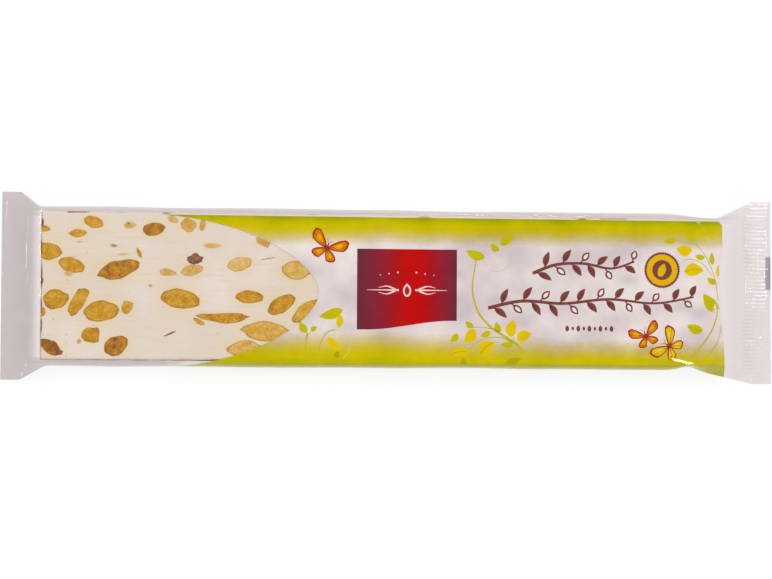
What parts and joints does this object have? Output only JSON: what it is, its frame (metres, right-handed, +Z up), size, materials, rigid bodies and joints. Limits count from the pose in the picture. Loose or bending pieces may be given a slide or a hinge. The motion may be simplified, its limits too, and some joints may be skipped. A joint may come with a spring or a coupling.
{
  "type": "wrapped nougat bar",
  "caption": "Long flat nougat bar with whole almonds, sealed in a clear printed flow-wrap film with flat crimped fins at both ends.",
  "frame": {"origin": "on the surface the pack lies on, under the middle of the whole pack", "axes": "+X along the bar towards the end with the longer neck, +Y across it, +Z up out of the printed side"},
  "size_m": [0.3, 0.0718, 0.0126],
  "materials": {
    "clear_film": "thin clear glossy film, cream where it lies on the nougat",
    "nougat": "soft, faintly waxy sugar paste, cut with a knife",
    "almond": "roasted kernel, cut face finely grained",
    "almond_skin": "thin dry brown skin",
    "white_ink": "milky ink under glossy film",
    "green_ink": "ink under glossy film",
    "yellow_ink": "ink under glossy film",
    "orange_ink": "ink under glossy film",
    "red_ink": "ink under glossy film",
    "brown_ink": "ink under glossy film",
    "grey_ink": "ink under glossy film"
  },
  "bodies": {
    "root": {"wrapped_nougat_bar": "clear_film"}
  },
  "joints": []
}
